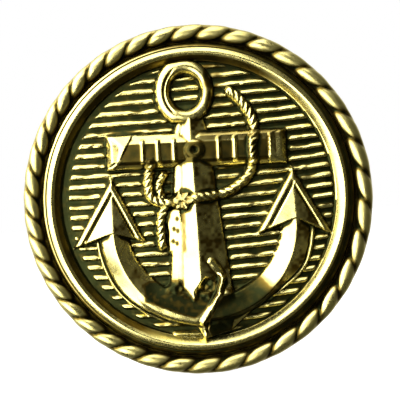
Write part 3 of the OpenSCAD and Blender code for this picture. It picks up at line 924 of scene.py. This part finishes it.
# half width of the floor in metres, and the light it gives off
FLOOR_HALF = 0.6
FLOOR_GLOW = 0.99
# strength of the dim room, and how much the surroundings add to it behind the button and on the left
ROOM, BEHIND, LEFT = 0.16, 1.1, 0.5
OLIVE_ROOM, WHITE_ROOM = (0.5, 0.5, 0.36, 1), (1, 1, 0.96, 1)
# share of the picture's width that the button fills, and the camera's shift in picture widths, roll and lens
FILL = 0.872
SHIFT_RIGHT, SHIFT_UP = 0.004, -0.003
ROLL = math.radians(4)
LENS = 110


def pale_floor():
    """An almost white floor under the button, left out of its reflections."""
    mesh = bpy.data.meshes.new("floor")
    edge, low = FLOOR_HALF, -HEAD_R * MM
    corners = [(-edge, -edge, low), (edge, -edge, low), (edge, edge, low), (-edge, edge, low)]
    mesh.from_pydata(corners, [], [(0, 1, 2, 3)])
    floor = bpy.data.objects.new("floor", mesh)
    bpy.context.scene.collection.objects.link(floor)
    n = Surface("pale_floor")
    # it glows, so that it stays as pale as the photograph's ground
    n.shader.inputs["Base Color"].default_value = (0.3, 0.3, 0.3, 1)
    n.shader.inputs["Roughness"].default_value = 0.9
    n.shader.inputs["Emission Color"].default_value = (1, 1, 1, 1)
    n.shader.inputs["Emission Strength"].default_value = FLOOR_GLOW
    # seen from below, the floor is clear
    mix = n.add("ShaderNodeMixShader")
    n.feed(n.add("ShaderNodeNewGeometry").outputs["Backfacing"], mix.inputs["Fac"])
    n.feed(n.shader.outputs[0], mix.inputs[1])
    n.feed(n.add("ShaderNodeBsdfTransparent").outputs[0], mix.inputs[2])
    n.feed(mix.outputs[0], n.tree.nodes["Material Output"].inputs["Surface"])
    floor.data.materials.append(n.material)
    floor.visible_glossy = False
    floor.visible_diffuse = False


def softbox(name, place_mm, size_mm, power, colour):
    """A rectangular soft light that faces the button."""
    data = bpy.data.lights.new(name, "AREA")
    data.shape = "RECTANGLE"
    data.size, data.size_y = (v * MM for v in size_mm)
    data.energy = power
    data.color = colour
    lamp = bpy.data.objects.new(name, data)
    lamp.location = [v * MM for v in place_mm]
    aim = -lamp.location
    lamp.rotation_euler = aim.to_track_quat("-Z", "Z").to_euler()
    bpy.context.scene.collection.objects.link(lamp)


def surroundings():
    """White to the camera. To the metal, a dim olive room, brighter on the left and behind the button."""
    world = bpy.data.worlds.new("studio")
    bpy.context.scene.world = world
    world.use_nodes = True
    world.node_tree.nodes.clear()
    n = Wiring(world.node_tree)
    way = n.add("ShaderNodeSeparateXYZ")
    n.feed(n.add("ShaderNodeTexCoord").outputs["Generated"], way.inputs[0])
    behind = n.math("POWER", n.remap(way.outputs["Y"], -0.1, 1.0), 2.0)
    above = n.remap(way.outputs["Z"], -0.5, 0.5, 0.45, 1.0)
    left = n.math("MULTIPLY", n.remap(way.outputs["X"], -0.35, -0.85), n.remap(way.outputs["Y"], -0.3, 0.2))
    behind = n.math("MULTIPLY", behind, n.math("MULTIPLY", above, BEHIND))
    level = n.math("ADD", behind, n.math("MULTIPLY", left, LEFT))
    room = n.add("ShaderNodeBackground")
    n.feed(n.blend(n.remap(level, 0.0, 0.2), OLIVE_ROOM, WHITE_ROOM), room.inputs["Color"])
    n.feed(n.math("ADD", level, ROOM), room.inputs["Strength"])
    paper = n.add("ShaderNodeBackground")
    paper.inputs["Color"].default_value = (1, 1, 1, 1)
    mix = n.add("ShaderNodeMixShader")
    n.feed(n.add("ShaderNodeLightPath").outputs["Is Camera Ray"], mix.inputs["Fac"])
    n.feed(room.outputs[0], mix.inputs[1])
    n.feed(paper.outputs[0], mix.inputs[2])
    n.feed(mix.outputs[0], n.add("ShaderNodeOutputWorld").inputs["Surface"])


def camera():
    """Straight on, a little rolled, with the button filling most of the frame."""
    data = bpy.data.cameras.new("camera")
    data.lens = LENS
    data.clip_start = 0.002
    cam = bpy.data.objects.new("camera", data)
    picture_w = 2 * HEAD_R / FILL
    distance = picture_w * data.lens / data.sensor_width
    cam.location = (SHIFT_RIGHT * picture_w * MM, -(distance + FIELD_H) * MM, SHIFT_UP * picture_w * MM)
    cam.rotation_euler = (math.radians(90), ROLL, 0)
    bpy.context.scene.collection.objects.link(cam)
    bpy.context.scene.camera = cam


pale_floor()
surroundings()
# the key light comes from the left; the others fill in from the front, from above and from the upper left
softbox("key", place_mm=(-112, -92, 0), size_mm=(150, 250), power=0.62, colour=(1, 1, 0.97))
softbox("near", place_mm=(-38, -140, -10), size_mm=(34, 200), power=0.01, colour=(1, 1, 0.92))
softbox("top", place_mm=(-40, -92, 108), size_mm=(190, 80), power=0.18, colour=(1, 1, 0.98))
softbox("sky", place_mm=(-60, -12, 140), size_mm=(290, 110), power=0.31, colour=(1, 1, 0.98))
softbox("shoulder", place_mm=(-100, -50, 100), size_mm=(90, 90), power=0.07, colour=(1, 1, 0.97))
camera()
bpy.context.scene.view_settings.view_transform = "Standard"
